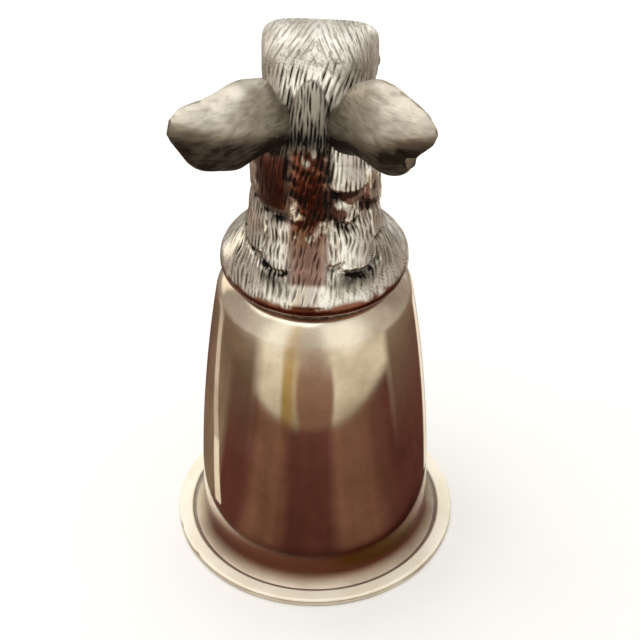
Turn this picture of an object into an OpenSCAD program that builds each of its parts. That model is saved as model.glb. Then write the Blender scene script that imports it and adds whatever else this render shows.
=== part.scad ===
// Stirrup cup with a doe's head, standing mouth down on its lip.
// A spun bowl carries an applied ring round its lip and a cored casting of neck and head on
// its closed end. Each ear is a casting of its own, let into a round socket behind the poll.
// The doe faces -Y, the cup's axis is Z, and the table is the plane z = 0.

/* [Cup] */
// Outer diameter across the lip
lip_d = 72; // [68:0.5:80]
// Outer diameter of the bowl where its wall stands upright
bowl_d = 58.4; // [56:0.2:62]
// Height of the bowl from the table to its closed end
bowl_h = 80; // [72:0.5:92]
// Thickness of the spun sheet
wall_t = 1.2; // [0.8:0.1:1.6]
// Height at which the wall stands upright, between the flare and the lean
upright_z = 5; // [4.5:0.5:8]
// Radius of the long arc that the wall follows as it leans in
wall_arc_r = 420; // [380:2:500]
// Radius of the shoulder at the closed end
shoulder_r = 8; // [5:0.5:9]

/* [Lip] */
// Thickness of the flared lip
lip_t = 1; // [0.8:0.1:1.4]
// Width of the applied ring, measured towards the axis
ring_w = 3.6; // [2.6:0.1:4.4]
// Thickness of the applied ring
ring_t = 0.9; // [0.6:0.1:1.4]
// Radius on the ring's inner top edge
ring_edge_r = 0.3; // [0.1:0.05:0.4]

/* [Neck] */
// Diameter of the fur collar at its widest
collar_d = 44.6; // [42:0.2:50]
// Height of the collar from its seat to the neck
collar_h = 16; // [12:0.5:20]
// Depth of the steps where one row of fur lies over the next
fur_step = 0.7; // [0.3:0.1:1]
// Locks of fur round each row
fur_locks = 14; // [10:1:18]
// Width of the neck
neck_w = 29; // [27:0.5:32]
// Height of the throat above the collar's seat
throat_h = 24; // [21:0.5:28]
// Diameter of the core hole where the casting meets the bowl
core_d = 27; // [22:0.5:29]
// Depth of the core hole
core_h = 37; // [28:0.5:40]

/* [Head] */
// Width of the head across the brow
brow_w = 26.6; // [24.6:0.2:29]
// Height of the forehead above the collar's seat
forehead_h = 56.6; // [54:0.2:62]
// Reach of the nose in front of the cup's axis
nose_reach = 46; // [42:0.5:50]
// Drop from the forehead to the top of the nose
nose_drop = 29; // [26:0.5:33]
// Width of the muzzle at the nostrils
muzzle_w = 13.6; // [11:0.2:15]
// Depth of the muzzle from nose to chin
muzzle_depth = 13; // [11:0.5:15]
// Diameter of each eye
eye_d = 5.6; // [4.6:0.1:6.4]
// Height of the tuft that runs up the nape to the poll
tuft_h = 1.2; // [0.6:0.1:1.8]

/* [Ears] */
// Length of each ear outside its socket
ear_len = 26.8; // [24:0.2:30]
// Breadth of each ear at its widest
ear_breadth = 20.2; // [18.6:0.2:21.4]
// Depth of each ear's cupped back
ear_cup = 6.9; // [6:0.1:7.6]
// Thickness of each ear at the middle of its hollow
ear_t = 2.2; // [1.6:0.1:2.8]
// Diameter of each ear's round root
ear_root_d = 11.8; // [10.6:0.1:12.4]
// Depth of the root's seat below the poll's skin
ear_socket_depth = 4.8; // [4.2:0.1:5.4]
// How far each ear sweeps back from straight out
ear_sweep = 42; // [37:1:47]
// How far each ear rises above level
ear_rise = 21; // [16:1:23]
// How far the back of each ear turns up
ear_turn = 7; // [1:1:13]

/* [Solder] */
// Thickness of each solder seam
solder_t = 0.25; // [0.15:0.05:0.4]
// Gap round an ear's root in its socket
socket_gap = 0.1; // [0.05:0.05:0.2]
// Width of the solder fillet past the flat of the bowl's closed end
collar_fillet = 4.2; // [3:0.2:4.6]
// Width of the solder's hollow inside the lip's ring
seam_w = 2; // [1.6:0.1:2.4]

/* [Hidden] */

silver = "#cfc8b8";
cast_silver = "#b9b1a0";
solder_grey = "#9c968a";

// Facets of turned pieces, of the wall's long arc, of a skin's rings and along a skin
turn_fn = 120;
arc_fn = 1440;
head_sides = 48;
head_rings = 66;
ear_sides = 24;
ear_rings = 24;

lip_r = lip_d / 2;
bowl_r = bowl_d / 2;
ring_in_r = lip_r - ring_w;
ring_z = lip_t + solder_t;

// The cove runs from the upright wall down to the ring's inner edge.
cove_reach = ring_in_r - bowl_r;
cove_drop = upright_z - lip_t;
cove_r = (cove_reach * cove_reach + cove_drop * cove_drop) / (2 * cove_reach);
cove_centre = [bowl_r + cove_r, upright_z];

// The wall's arc and the shoulder's arc touch where their centres line up.
wall_centre = [bowl_r - wall_arc_r, upright_z];
shoulder_z = bowl_h - shoulder_r;
shoulder_lean = asin((shoulder_z - upright_z) / (wall_arc_r - shoulder_r));
shoulder_x = wall_centre[0] + (wall_arc_r - shoulder_r) * cos(shoulder_lean);
lean_top_z = upright_z + wall_arc_r * sin(shoulder_lean);

// The casting stands on the solder on the bowl's closed end.
seat_z = bowl_h + solder_t;
collar_r = collar_d / 2;
neck_r = neck_w / 2;
brow_r = brow_w / 2;
muzzle_r = muzzle_w / 2;
neck_z = seat_z + collar_h;
throat_z = seat_z + throat_h;
forehead_z = seat_z + forehead_h;
nose_z = forehead_z - nose_drop;
chin_z = nose_z - muzzle_depth;
poll_z = forehead_z - 0.06 * forehead_h;
brow_f = 0.31 * nose_reach;
poll_back = 0.48 * neck_r;

// Stations of the head's skin, from the collar's underside to the nose. Each is the point on
// the back line and on the throat line, both as forward and up, then the half width, the share
// of the depth at which it is widest, and how square the upper and lower halves are.
function level(r, z) = [-r, z, r, z, r, 0.5, 2, 2];

function between(a, b, share) = a + (b - a) * share;

function face(share, half_w, widest, square_top, square_under) = let (
    top_f = between(brow_f + 0.174 * nose_reach, 0.957 * nose_reach, share),
    top_z = between(forehead_z - 0.074 * forehead_h, nose_z, share),
    under_f = between(brow_f + 0.424 * nose_reach, 0.989 * nose_reach, share),
    under_z = between(throat_z - 0.225 * throat_h, chin_z, share)
) [top_f, top_z, under_f, under_z, half_w, widest, square_top, square_under];

stations = [
    level(0.9 * collar_r, seat_z),
    level(collar_r - 0.4, seat_z + 0.07 * collar_h),
    level(collar_r - 0.3, seat_z + 0.25 * collar_h),
    level(between(neck_r, collar_r, 0.55), seat_z + 0.55 * collar_h),
    level(between(neck_r, collar_r, 0.2), seat_z + 0.75 * collar_h),
    level(neck_r + 0.2, neck_z),
    [-neck_r - 0.1, neck_z + 0.56 * collar_h, neck_r - 0.6, 0.98 * throat_z, neck_r - 0.2, 0.5, 2, 2],
    [-neck_r - 0.9, throat_z + 0.5 * throat_h, neck_r - 0.2, throat_z + 0.4, neck_r - 0.7, 0.5, 2.1, 2],
    [-0.9 * neck_r, throat_z + 0.38 * forehead_h, 1.18 * neck_r, throat_z, neck_r - 0.9, 0.46, 2.3, 2],
    [-poll_back, poll_z, 1.455 * neck_r, throat_z - 0.05 * throat_h, 0.887 * brow_r, 0.4, 3, 2],
    [0.2 * brow_f, forehead_z - 0.3, 1.76 * neck_r, throat_z - 0.12 * throat_h, 0.94 * brow_r, 0.3, 3.8, 2],
    [brow_f, forehead_z, 0.649 * nose_reach, throat_z - 0.183 * throat_h, brow_r, 0.24, 4.4, 2.1],
    face(0, brow_r - 1.2, 0.27, 3.8, 2.2),
    face(0.3, between(muzzle_r, brow_r, 0.4), 0.34, 2.7, 2.3),
    face(0.55, between(muzzle_r, brow_r, 0.08), 0.42, 2.5, 2.3),
    face(0.78, muzzle_r - 0.3, 0.46, 2.5, 2.4),
    face(0.93, muzzle_r, 0.46, 2.5, 2.4),
    face(1, muzzle_r - 0.8, 0.46, 2.4, 2.4),
    [
        1.026 * nose_reach, nose_z - 0.354 * muzzle_depth,
        1.033 * nose_reach, chin_z + 0.338 * muzzle_depth,
        0.36 * muzzle_r, 0.46, 2.2, 2.2
    ]
];
last_station = len(stations) - 1;

// The stations at which the fur's rows, the tuft and the mouth begin and end
fur_rows = [3, 5.6];
lock_rise = 0.55;
tuft_from = 6.2;
tuft_to = 9.6;
tuft_half_w = 3.4;
mouth_from = 13.4;
mouth_angle = 115;
mouth_spread = 7;
mouth_depth = 0.8;
orbit_station = 11.5;
orbit_angle = 98;
orbit_spread = 13;
orbit_depth = 1.3;
nostril_station = 17;
nostril_angle = 60;
nostril_d = 2;

// A smooth curve through a list of numbers or vectors, at place u along it
function curve(list, u) = let (
    i = min(floor(u), len(list) - 2),
    t = u - i,
    a = list[max(i - 1, 0)],
    b = list[i],
    c = list[i + 1],
    d = list[min(i + 2, len(list) - 1)]
) 0.5 * (2 * b + (c - a) * t + (2 * a - 5 * b + 4 * c - d) * t * t + (3 * b - a - 3 * c + d) * t * t * t);

function bump(x, half_w) = exp(-x * x / (half_w * half_w));

// How far each row of fur stands out: it swells down to its edge and drops to the next row,
// and the edge runs in locks round the neck.
function fur_row(u, angle, row) = let (
    lock = lock_rise * abs(sin(angle * fur_locks / 2 + 90 * row)),
    above = u - fur_rows[row] - lock
) above < 0 ? 0 : exp(-above / 0.7);

function fur(u, angle) = fur_step * (fur_row(u, angle, 0) + fur_row(u, angle, 1));

function tuft(u, x) = let (
    middle = (tuft_from + tuft_to) / 2
) tuft_h * bump(x, tuft_half_w) * bump(u - middle, tuft_to - middle);

function mouth(u, angle) = u < mouth_from ? 0 : -mouth_depth * bump(angle - mouth_angle, mouth_spread);

function orbit(u, angle) = let (
    along = bump(u - orbit_station, 0.6),
    round_ = bump(angle - orbit_angle, orbit_spread)
) -orbit_depth * along * round_;

// One point of the head's skin. The angle runs from the back line at 0 to the throat line at 180.
function skin(u, angle) = let (
    s = curve(stations, u),
    back = [s[0], s[1]],
    throat = [s[2], s[3]],
    depth = norm(throat - back),
    up = (back - throat) / depth,
    a = cos(angle),
    b = sin(angle),
    square = a > 0 ? s[6] : s[7],
    reach = pow(pow(abs(a), square) + pow(abs(b), square), -1 / square),
    half = a > 0 ? s[5] * depth : (1 - s[5]) * depth,
    x = s[4] * reach * b,
    side = angle > 180 ? 360 - angle : angle,
    nape = a > 0 ? tuft(u, x) : 0,
    out = fur(u, angle) + mouth(u, side) + orbit(u, side),
    fu = back + s[5] * (throat - back) + (half * reach * a + nape + out * a) * up
) [x + out * b, -fu[0], fu[1]];

// A closed skin from rings of points: the sides between rings, and a flat cap on each end
module rings_solid(rings) {
    n = len(rings[0]);
    m = len(rings);
    sides = [
        for (i = [0:m - 2], j = [0:n - 1])
            let (a = i * n + j, b = i * n + (j + 1) % n)
            each [[a, b, b + n], [a, b + n, a + n]]
    ];
    first = [for (j = [n - 1:-1:0]) j];
    last = [for (j = [0:n - 1]) (m - 1) * n + j];
    polyhedron(points = [for (r = rings) each r], faces = concat(sides, [first], [last]));
}

module head_skin() {
    rings_solid([
        for (i = [0:head_rings])
            let (u = last_station * i / head_rings)
            [for (j = [0:head_sides - 1]) skin(u, 360 - 360 * j / head_sides)]
    ]);
}

// Sections of an ear, from its root to its tip: share of the length, depth of the back, and depth
// of the front, which is hollow along the leaf
ear_half = ear_breadth / 2;
ear_root_r = ear_root_d / 2;
ear_hollow = ear_cup - ear_t;
ear_sections = [
    [0, 1.03 * ear_root_r, -1.02 * ear_root_r],
    [0.13, 0.9 * ear_root_r, -0.5 * ear_root_r],
    [0.28, 0.93 * ear_cup, 0.2 * ear_hollow],
    [0.44, ear_cup, 0.7 * ear_hollow],
    [0.6, 0.97 * ear_cup, 0.68 * ear_hollow],
    [0.73, 0.84 * ear_cup, 0.5 * ear_hollow],
    [0.84, 0.65 * ear_cup, 0.25 * ear_hollow],
    [0.94, 0.42 * ear_cup, 0.05 * ear_hollow],
    [1, 0.13 * ear_cup, -0.05 * ear_hollow]
];

// Breadth of each ear above and below its middle at those sections, as shares of half the breadth.
// The edges were bent by hand: the left ear droops to its tip, and the right one folds in below.
left_edges = [
    [0.62, 0.62], [0.95, 0.78], [0.96, 1.03], [0.89, 1.07], [0.65, 1.06],
    [0.48, 0.92], [0.38, 0.68], [0.25, 0.45], [0.06, 0.28]
];
right_edges = [
    [0.62, 0.62], [0.93, 0.63], [1.03, 0.78], [1.07, 0.98], [0.95, 0.88],
    [0.75, 0.55], [0.58, 0.39], [0.37, 0.24], [0.12, 0.06]
];

function ear_stations(edges) = [
    for (i = [0:len(ear_sections) - 1])
        let (s = ear_sections[i])
        [s[0], ear_half * edges[i][0], ear_half * edges[i][1], s[1], s[2]]
];

function ear_skin(ear_list, u, angle) = let (
    s = curve(ear_list, u),
    wide = sin(angle) > 0 ? s[1] : s[2],
    deep = cos(angle) > 0 ? s[3] : -s[4]
) [s[0] * ear_len, deep * cos(angle), wide * sin(angle)];

// Each ear's socket lies behind the poll, at the height of the ear's root.
ear_seat = [0.68 * brow_r, 0.67 * neck_r, forehead_z - 0.212 * forehead_h];

module ear_place(side) {
    mirror([side < 0 ? 1 : 0, 0, 0])
        translate(ear_seat)
            rotate([0, 0, ear_sweep])
                rotate([0, -ear_rise, 0])
                    rotate([ear_turn, 0, 0])
                        children();
}

// A round bar along the ear's length, from one place on it to another
module ear_bar(d, from, to) {
    translate([from, 0, 0])
        rotate([0, 90, 0])
            cylinder(d = d, h = to - from, $fn = turn_fn);
}

module ear(side) {
    ear_list = ear_stations(side > 0 ? left_edges : right_edges);
    color(cast_silver)
        ear_place(side)
            union() {
                rings_solid([
                    for (i = [0:ear_rings])
                        let (u = (len(ear_list) - 1) * i / ear_rings)
                        [for (j = [0:ear_sides - 1]) ear_skin(ear_list, u, -360 * j / ear_sides)]
                ]);
                ear_bar(ear_root_d, -ear_socket_depth, 0.5);
            }
}

// The bowl's outline from the axis out, at a given depth inside its outer face
module bowl_outline(inset) {
    difference() {
        square([ring_in_r, upright_z]);
        translate(cove_centre) circle(r = cove_r + inset, $fn = arc_fn);
    }
    intersection() {
        translate([0, upright_z]) square([bowl_r, lean_top_z - upright_z]);
        translate(wall_centre) circle(r = wall_arc_r - inset, $fn = arc_fn);
    }
    translate([shoulder_x, shoulder_z]) circle(r = shoulder_r - inset, $fn = turn_fn);
    translate([0, upright_z]) square([shoulder_x, bowl_h - inset - upright_z]);
}

module lip_outline() {
    square([lip_r - lip_t / 2, lip_t]);
    translate([lip_r - lip_t / 2, lip_t / 2]) circle(d = lip_t, $fn = turn_fn);
}

// The half plane on the positive side of the axis, for sections that are turned
module right_half() {
    intersection() {
        translate([0, -bowl_h]) square([2 * lip_r, 3 * bowl_h]);
        children();
    }
}

module cup_bowl() {
    color(silver)
        rotate_extrude($fn = turn_fn)
            right_half()
                difference() {
                    union() {
                        bowl_outline(0);
                        lip_outline();
                    }
                    bowl_outline(wall_t);
                }
}

module lip_ring() {
    round_r = ring_t / 2;
    color(silver)
        rotate_extrude($fn = turn_fn)
            translate([0, ring_z])
                union() {
                    translate([ring_in_r, 0]) square([ring_w - round_r, ring_t - ring_edge_r]);
                    translate([ring_in_r + ring_edge_r, 0])
                        square([ring_w - round_r - ring_edge_r, ring_t]);
                    translate([ring_in_r + ring_edge_r, ring_t - ring_edge_r])
                        circle(r = ring_edge_r, $fn = turn_fn);
                    translate([lip_r - round_r, round_r]) circle(r = round_r, $fn = turn_fn);
                }
}

// The solder under the ring runs out inside it in a soft hollow against the bowl's cove.
module lip_solder() {
    inset = ring_t / 2;
    seam_low = lip_t + solder_t / 4;
    seam_z = ring_z + ring_t - ring_edge_r;
    hollow_r = 0.7 * seam_w;
    hollow_z = seam_z + 0.9 * sqrt(hollow_r * hollow_r - seam_w * seam_w / 4);
    color(solder_grey)
        rotate_extrude($fn = turn_fn)
            difference() {
                union() {
                    translate([ring_in_r - seam_w, seam_low]) square([seam_w, seam_z - seam_low]);
                    translate([ring_in_r, lip_t]) square([ring_w - inset, solder_t]);
                }
                translate([ring_in_r - seam_w / 2, hollow_z]) circle(r = hollow_r, $fn = turn_fn);
                bowl_outline(0);
            }
}

// The core leaves the casting open underneath, and tapers to a round end inside the neck.
module head_core() {
    end_r = 0.64 * neck_r;
    end_z = core_h - end_r;
    translate([0, 0, seat_z])
        rotate_extrude($fn = turn_fn)
            right_half()
                union() {
                    polygon([[0, -1], [core_d / 2, -1], [core_d / 2, 0], [end_r, end_z], [0, end_z]]);
                    translate([0, end_z]) circle(r = end_r, $fn = turn_fn);
                }
}

module eyes() {
    at = skin(orbit_station, orbit_angle);
    for (side = [-1, 1])
        translate([side * (abs(at[0]) - 0.45 * eye_d), at[1], at[2]]) sphere(d = eye_d, $fn = 48);
}

module nostrils() {
    at = skin(nostril_station, nostril_angle);
    for (side = [-1, 1])
        translate([side * at[0], at[1], at[2]]) sphere(d = nostril_d, $fn = 24);
}

module head_casting() {
    color(cast_silver)
        difference() {
            union() {
                head_skin();
                eyes();
            }
            head_core();
            nostrils();
            for (side = [-1, 1])
                ear_place(side)
                    ear_bar(ear_root_d + 2 * socket_gap, -ear_socket_depth - solder_t, ear_len);
        }
}

// The solder fills the wedge between the casting's flat underside and the bowl's shoulder.
module collar_solder() {
    inner_r = core_d / 2 + 0.5;
    outer_r = min(shoulder_x + collar_fillet, 0.9 * collar_r - 0.3);
    color(solder_grey)
        rotate_extrude($fn = turn_fn)
            difference() {
                translate([inner_r, shoulder_z]) square([outer_r - inner_r, seat_z - shoulder_z]);
                bowl_outline(0);
            }
}

module ear_solder() {
    color(solder_grey)
        for (side = [-1, 1])
            ear_place(side)
                ear_bar(ear_root_d, -ear_socket_depth - solder_t, -ear_socket_depth);
}

cup_bowl();
lip_ring();
lip_solder();
head_casting();
collar_solder();
ear(1);  // left_ear
ear(-1);  // right_ear
ear_solder();
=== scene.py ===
"""Looks of a stirrup cup: a spun bowl of silver plate with a cast doe's head on its closed end."""

import math

import bpy
import numpy as np
from mathutils import Matrix


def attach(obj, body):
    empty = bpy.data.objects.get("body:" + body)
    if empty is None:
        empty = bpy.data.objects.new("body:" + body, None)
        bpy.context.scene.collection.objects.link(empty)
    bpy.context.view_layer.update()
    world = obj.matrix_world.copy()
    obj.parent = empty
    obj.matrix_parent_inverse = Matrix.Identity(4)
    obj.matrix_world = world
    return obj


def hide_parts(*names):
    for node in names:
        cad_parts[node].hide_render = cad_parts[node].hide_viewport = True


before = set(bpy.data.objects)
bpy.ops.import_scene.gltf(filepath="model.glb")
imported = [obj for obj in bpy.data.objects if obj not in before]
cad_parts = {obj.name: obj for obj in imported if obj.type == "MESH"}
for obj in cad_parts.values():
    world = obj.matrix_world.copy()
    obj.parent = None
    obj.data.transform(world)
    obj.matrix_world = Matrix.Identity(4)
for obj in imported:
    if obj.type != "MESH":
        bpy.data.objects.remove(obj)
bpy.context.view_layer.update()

MM = 0.001

# Sizes of the cup in millimetres, as in the part's source
LIP_R = 36.0
BOWL_R = 29.2
BOWL_H = 80.0
WALL_T = 1.2
UPRIGHT_Z = 5.0
WALL_ARC_R = 420.0
SHOULDER_R = 8.0
LIP_T = 1.0
RING_W = 3.6
RING_T = 0.9
RING_EDGE_R = 0.3
SOLDER_T = 0.25
SEAM_W = 2.0

# Sizes of the neck, head and ears
COLLAR_R = 22.3
COLLAR_H = 16.0
NECK_R = 14.5
BROW_R = 13.3
MUZZLE_R = 6.8
SEAT_Z = BOWL_H + SOLDER_T
NECK_Z = SEAT_Z + COLLAR_H
THROAT_H = 24.0
THROAT_Z = SEAT_Z + THROAT_H
FOREHEAD_H = 56.6
FOREHEAD_Z = SEAT_Z + FOREHEAD_H
POLL_Z = FOREHEAD_Z - 0.06 * FOREHEAD_H
NOSE_REACH = 46.0
NOSE_Z = FOREHEAD_Z - 29.0
MUZZLE_DEPTH = 13.0
CHIN_Z = NOSE_Z - MUZZLE_DEPTH
BROW_F = 0.31 * NOSE_REACH
EYE_D = 5.6
EYE_SLANT = math.radians(35.0)
EAR_LEN = 26.8
EAR_HALF = 10.1
EAR_CUP = 6.9
EAR_HOLLOW = EAR_CUP - 2.2
EAR_ROOT_R = 5.9
EAR_SOCKET = 4.8
EAR_SWEEP = 42.0
EAR_RISE = 21.0
EAR_TURN = 7.0
EAR_SEAT = (0.68 * BROW_R, 0.67 * NECK_R, FOREHEAD_Z - 0.212 * FOREHEAD_H)

# Fineness of the meshes: points round and along each piece
BOWL_SEGMENTS = 256
RING_SEGMENTS = 360
HEAD_ROWS, HEAD_COLUMNS = 300, 310
EYE_ROWS, EYE_COLUMNS = 24, 36
EAR_ROWS, EAR_COLUMNS = 180, 200


# Small tools

def between(a, b, share):
    """The value that lies this share of the way from a to b."""
    return a + (b - a) * share


def smooth(low, high, x):
    """A soft ramp from 0 at low to 1 at high."""
    t = np.clip((x - low) / (high - low), 0.0, 1.0)
    return t * t * (3.0 - 2.0 * t)


def band(rise, fall, x):
    """1 between two ramps and 0 outside them; each ramp is a pair of start and end."""
    return smooth(*rise, x) * (1 - smooth(*fall, x))


def bump(x, half_w):
    """A soft hump of height 1 round x = 0."""
    return np.exp(-((x / half_w) ** 2))


def chance(a, b):
    """A fixed pseudo-random number from 0 to 1 for each pair of numbers."""
    return np.modf(np.abs(np.sin(a * 12.9898 + b * 78.233 + 0.5) * 43758.5453))[0]


def ripple(x, y, seed):
    """Smooth noise from -1 to 1 with features about one unit wide."""
    i, j = np.floor(x), np.floor(y)
    tx, ty = smooth(0, 1, x - i), smooth(0, 1, y - j)

    def corner(a, b):
        return chance(i + a + 57.0 * (j + b), seed)

    low = between(corner(0, 0), corner(1, 0), tx)
    high = between(corner(0, 1), corner(1, 1), tx)
    return 2.0 * between(low, high, ty) - 1.0


def curve(stations, u):
    """A smooth curve through the stations, at place u along them."""
    s = np.asarray(stations, float)
    last = len(s) - 1
    i = np.clip(np.floor(u).astype(int), 0, last - 1)
    t = (u - i)[..., None]
    a, b = s[np.maximum(i - 1, 0)], s[i]
    c, d = s[i + 1], s[np.minimum(i + 2, last)]
    square, cube = 2 * a - 5 * b + 4 * c - d, 3 * b - a - 3 * c + d
    return 0.5 * (2 * b + (c - a) * t + square * t**2 + cube * t**3)


def even_places(path, count):
    """Places along a sampled path that lie evenly by length, as fractions of its samples."""
    steps = np.linalg.norm(np.diff(path, axis=0), axis=1)
    length = np.concatenate([[0.0], np.cumsum(steps)])
    return np.interp(np.linspace(0, length[-1], count), length, np.linspace(0, 1, len(path)))


def grid_normals(grid):
    """Outward normals of a grid of points whose columns close round and whose rows run along."""
    along = np.gradient(grid, axis=0)
    around = (np.roll(grid, -1, axis=1) - np.roll(grid, 1, axis=1)) / 2
    n = np.cross(around, along)
    n /= np.linalg.norm(n, axis=-1, keepdims=True) + 1e-12
    middle = grid.mean(axis=1, keepdims=True)
    return n if ((grid - middle) * n).sum(-1).mean() > 0 else -n


def strokes(across, along, spacing, length, width, seed, kept):
    """Depth, 0 to 1, of chased hair lines laid side by side, each with its own start and sway.
    kept is the share of the lines that were cut at all."""
    lane = np.floor(across / spacing)
    place = along / length + chance(lane, seed)
    link = np.floor(place)
    t = place - link
    sway = 0.4 * (chance(lane + 0.37 * link, seed + 3) - 0.5)
    lean = 0.25 * (t - 0.5) * (chance(lane, link) - 0.5)
    off = (across / spacing - lane - 0.5 - (sway + lean)) * spacing
    taper = np.sqrt(np.clip(np.sin(np.pi * t), 0.0, 1.0))
    was_cut = chance(lane + 0.61 * link, seed + 7) < kept
    strength = (0.45 + 0.55 * chance(lane, link + seed)) * was_cut
    return strength * taper * bump(off, width * (0.45 + 0.55 * taper))


# Materials

def linear(hex_colour):
    """An sRGB hex colour as linear RGBA."""
    part = [int(hex_colour[i:i + 2], 16) / 255 for i in (1, 3, 5)]
    return [c / 12.92 if c <= 0.04045 else ((c + 0.055) / 1.055) ** 2.4 for c in part] + [1.0]


def node(tree, kind, inputs=None, **settings):
    """Adds a node. inputs maps a socket to a value or to the socket that feeds it."""
    made = tree.nodes.new("ShaderNode" + kind)
    for name, value in settings.items():
        setattr(made, name, value)
    for key, value in (inputs or {}).items():
        if isinstance(value, bpy.types.NodeSocket):
            tree.links.new(value, made.inputs[key])
        else:
            made.inputs[key].default_value = value
    return made


def per_metre(size_mm):
    """Scale of a pattern whose features are about this many millimetres across."""
    return 1 / (size_mm * MM)


def new_material(name):
    """A material with its node tree and its main shader."""
    material = bpy.data.materials.new(name)
    material.use_nodes = True
    tree = material.node_tree
    return material, tree, tree.nodes["Principled BSDF"]


def set_ramp(ramp, stops):
    """Colours of a ramp, as pairs of place and hex colour."""
    elements = ramp.color_ramp.elements
    while len(elements) > len(stops):
        elements.remove(elements[-1])
    while len(elements) < len(stops):
        elements.new(1.0)
    for element, (place, colour) in zip(elements, stops):
        element.position = place
        element.color = linear(colour)


# Settings of nodes that mix two colours, multiply them, or run softly from one value to another
MIX = {"data_type": "RGBA"}
MULTIPLY = {"data_type": "RGBA", "blend_type": "MULTIPLY"}
SOFT = {"interpolation_type": "SMOOTHSTEP"}

# Sizes of patterns in millimetres: clouds of tarnish on spun and on cast plate, the gap and length
# of level scratches and of fine hair lines, pits in the casting's skin, specks of grime on solder,
# and clouds on the stage
SPUN_CLOUDS, CAST_CLOUDS = 13.3, 5.55
SCRATCH_GAP, SCRATCH_LENGTH = 0.25, 11.1
FINE_LINE_GAP, FINE_LINE_LENGTH = 0.5, 3.03
CAST_PITS = 0.4
GRIME_SPECKS = 1.43
STAGE_CLOUDS = 25.0

# Share of the brown at which it fully covers the plate; above it the brown turns olive. The brown
# is painted dark reflection in the bowl's cove and on the solder beside it, and a darker tone at
# the groove inside the lip ring; the olive is painted reflection.
FULL_BROWN_COVER = 0.7
GROOVE_AND_REFLECTED_BROWN, REFLECTED_OLIVE = "#774a39", "#5e3d10"
# Roughness of plate that no cloth polishes
DULL = 0.5
# Red-brown painted as a reflection on the head, plain and darkened
REFLECTED_RED_BROWN, DARKENED_REFLECTED_BROWN = "#7f5341", "#542e23"


def spun_silver_plate(name, light, warm, roughness, drawn, bare=1.0):
    """Silver plate, spun and polished: a near mirror with a warm tarnish film in clouds, fine
    wiping scratches round the bowl and a slight haze that blurs what it reflects. A brown laid over
    it where the mesh asks is painted dark reflection in the cove and on the solder beside it, and a
    darker tone at the groove inside the lip ring. drawn is how far the level scratches draw
    reflections out up and down the wall, and bare the metallic share; the rest is a non-metal of the
    same tones, which on the pale lip ring is a painted reflection of its bright top."""
    material, tree, shader = new_material(name)
    place = node(tree, "TexCoord").outputs["Object"]
    noise = {"Vector": place, "Scale": per_metre(SPUN_CLOUDS), "Detail": 5.0, "Roughness": 0.62}
    clouds = node(tree, "TexNoise", noise).outputs["Fac"]
    film = node(tree, "MapRange", {0: clouds, 1: 0.4, 2: 0.75, 3: 0.0, 4: 1.0}).outputs[0]
    plate = node(tree, "Mix", {0: film, 6: linear(light), 7: linear(warm)}, **MIX).outputs[2]
    left = node(tree, "Attribute", attribute_name="dark_groove_and_painted_reflection").outputs["Fac"]
    cover = node(tree, "MapRange", {0: left, 1: 0.0, 2: FULL_BROWN_COVER}).outputs[0]
    brown_ramp = node(tree, "ValToRGB", {0: left})
    set_ramp(brown_ramp, [(FULL_BROWN_COVER, GROOVE_AND_REFLECTED_BROWN), (1.0, REFLECTED_OLIVE)])
    colour = node(tree, "Mix", {0: cover, 6: plate, 7: brown_ramp.outputs[0]}, **MIX)
    tree.links.new(colour.outputs[2], shader.inputs["Base Color"])
    # Scratches lie level round the bowl, drawn coarser than real ones so that they show.
    spread = (per_metre(SCRATCH_LENGTH), per_metre(SCRATCH_LENGTH), per_metre(SCRATCH_GAP))
    flat = node(tree, "Mapping", {"Vector": place, "Scale": spread}).outputs[0]
    lines = node(tree, "TexNoise", {"Vector": flat, "Scale": 1.0, "Detail": 2.0}).outputs["Fac"]
    hazy = {0: clouds, 1: 0.3, 2: 0.8, 3: roughness, 4: roughness + 0.05}
    haze = node(tree, "MapRange", hazy).outputs[0]
    wiped = node(tree, "Math", {0: lines, 1: 0.05, 2: haze}, operation="MULTIPLY_ADD").outputs[0]
    dull = node(tree, "Attribute", attribute_name="dull").outputs["Fac"]
    rough = node(tree, "MapRange", {0: dull, 3: wiped, 4: DULL})
    tree.links.new(rough.outputs[0], shader.inputs["Roughness"])
    relief = node(tree, "Bump", {"Strength": 0.12, "Distance": 0.00002, "Height": lines})
    tree.links.new(relief.outputs[0], shader.inputs["Normal"])
    tangent = node(tree, "Tangent", direction_type="RADIAL", axis="Z")
    tree.links.new(tangent.outputs[0], shader.inputs["Tangent"])
    shader.inputs["Anisotropic"].default_value = drawn
    shader.inputs["Anisotropic Rotation"].default_value = 0.25
    shader.inputs["Metallic"].default_value = bare
    return material


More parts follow.
